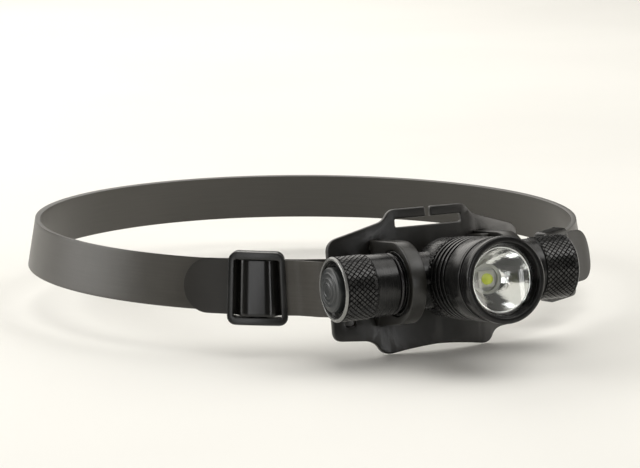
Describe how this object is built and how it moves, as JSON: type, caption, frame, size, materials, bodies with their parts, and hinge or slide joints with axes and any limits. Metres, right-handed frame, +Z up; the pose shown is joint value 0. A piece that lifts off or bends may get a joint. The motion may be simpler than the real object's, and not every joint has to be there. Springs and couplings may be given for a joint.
{
  "type": "helmet-mounted flashlight",
  "caption": "Black aluminium T-shaped flashlight with finned head and push-button end cap, tilting in a curved bracket plate on a rubber helmet strap with tri-glide buckles.",
  "frame": {"origin": "centre of the bracket plate's flat back face, where it seats on the helmet", "axes": "+Z up, -Y forward along the beam, +X along the barrel towards the battery cap; the plate leans back 10 degrees with the helmet's wall"},
  "size_m": [0.2231, 0.2673, 0.0516],
  "materials": {
    "anodised": "black anodised, satin, machined",
    "moulded_black": "matte moulded nylon",
    "strap_rubber": "matte extruded rubber",
    "gloss_black": "polished acetal",
    "boot_rubber": "satin silicone",
    "seal_rubber": "oiled nitrile",
    "steel": "zinc plated",
    "brass": "plated",
    "mirror": "vacuum metallised",
    "lens_glass": "clear, coated",
    "circuit_board": "solder mask",
    "metal_board": "white solder mask on aluminium",
    "ceramic": "white ceramic",
    "phosphor": "silicone dome over phosphor",
    "white_plastic": "moulded",
    "wire_red": "silicone insulation",
    "wire_black": "moulded",
    "cell_wrap": "printed-free plastic sleeve"
  },
  "bodies": {
    "bracket": {"bracket_plate": "moulded_black", "clamp_left": "moulded_black", "clamp_right": "moulded_black", "tilt_bush_left": "gloss_black", "tilt_bush_right": "gloss_black", "clamp_screw_1": "steel", "clamp_screw_2": "steel", "clamp_screw_3": "steel", "clamp_screw_4": "steel", "strap": "strap_rubber", "buckle_left": "gloss_black", "buckle_right": "gloss_black"},
    "lamp": {"body_tee": "anodised", "neck_seal": "seal_rubber", "head_housing": "anodised", "driver_board": "circuit_board", "driver_inductor": "wire_black", "lead_red": "wire_red", "lead_black": "wire_black", "led_board": "metal_board", "led_package": "ceramic", "led_dome": "phosphor", "centring_ring": "white_plastic", "reflector": "mirror", "lens_seal": "seal_rubber", "lens": "lens_glass", "bezel": "anodised", "cell_1": "cell_wrap", "cell_2": "cell_wrap", "cap_seal_left": "seal_rubber", "cap_seal_right": "seal_rubber"},
    "switch_thread": {"switch_spring": "brass"},
    "switch_cap": {"switch_cap": "anodised", "switch_carrier": "wire_black", "switch_body": "wire_black", "switch_board": "circuit_board", "switch_ring": "brass"},
    "button": {"button_boot": "boot_rubber", "button_plunger": "white_plastic"},
    "battery_thread": {"battery_spring": "brass"},
    "battery_cap": {"battery_cap": "anodised", "battery_contact": "circuit_board", "battery_ring": "brass"}
  },
  "joints": [
    {"name": "head_tilt", "type": "hinge", "parent": "bracket", "child": "lamp", "pos_m": [0, -0.01741, 0.00261], "axis": [1, 0, 0], "range_deg": [-88, 88]},
    {"name": "switch_cap_travel", "type": "slide", "parent": "lamp", "child": "switch_thread", "axis": [-1, 0, 0], "range_m": [0, 0.0075]},
    {"name": "switch_cap_turn", "type": "hinge", "parent": "switch_thread", "child": "switch_cap", "pos_m": [-0.04, -0.01741, 0.00261], "axis": [-1, 0, 0], "range_deg": [0, 1800]},
    {"name": "button_press", "type": "slide", "parent": "switch_cap", "child": "button", "axis": [1, 0, 0], "range_m": [0, 0.0012], "stiffness_N_per_m": 1500, "springref_m": -0.0015},
    {"name": "battery_cap_travel", "type": "slide", "parent": "lamp", "child": "battery_thread", "axis": [1, 0, 0], "range_m": [0, 0.0075]},
    {"name": "battery_cap_turn", "type": "hinge", "parent": "battery_thread", "child": "battery_cap", "pos_m": [0.04, -0.01741, 0.00261], "axis": [1, 0, 0], "range_deg": [0, 1800]}
  ],
  "couplings": [
    {"joint": "switch_cap_travel", "follows": "switch_cap_turn", "m_per_rad": 0.00023873},
    {"joint": "battery_cap_travel", "follows": "battery_cap_turn", "m_per_rad": 0.00023873}
  ]
}
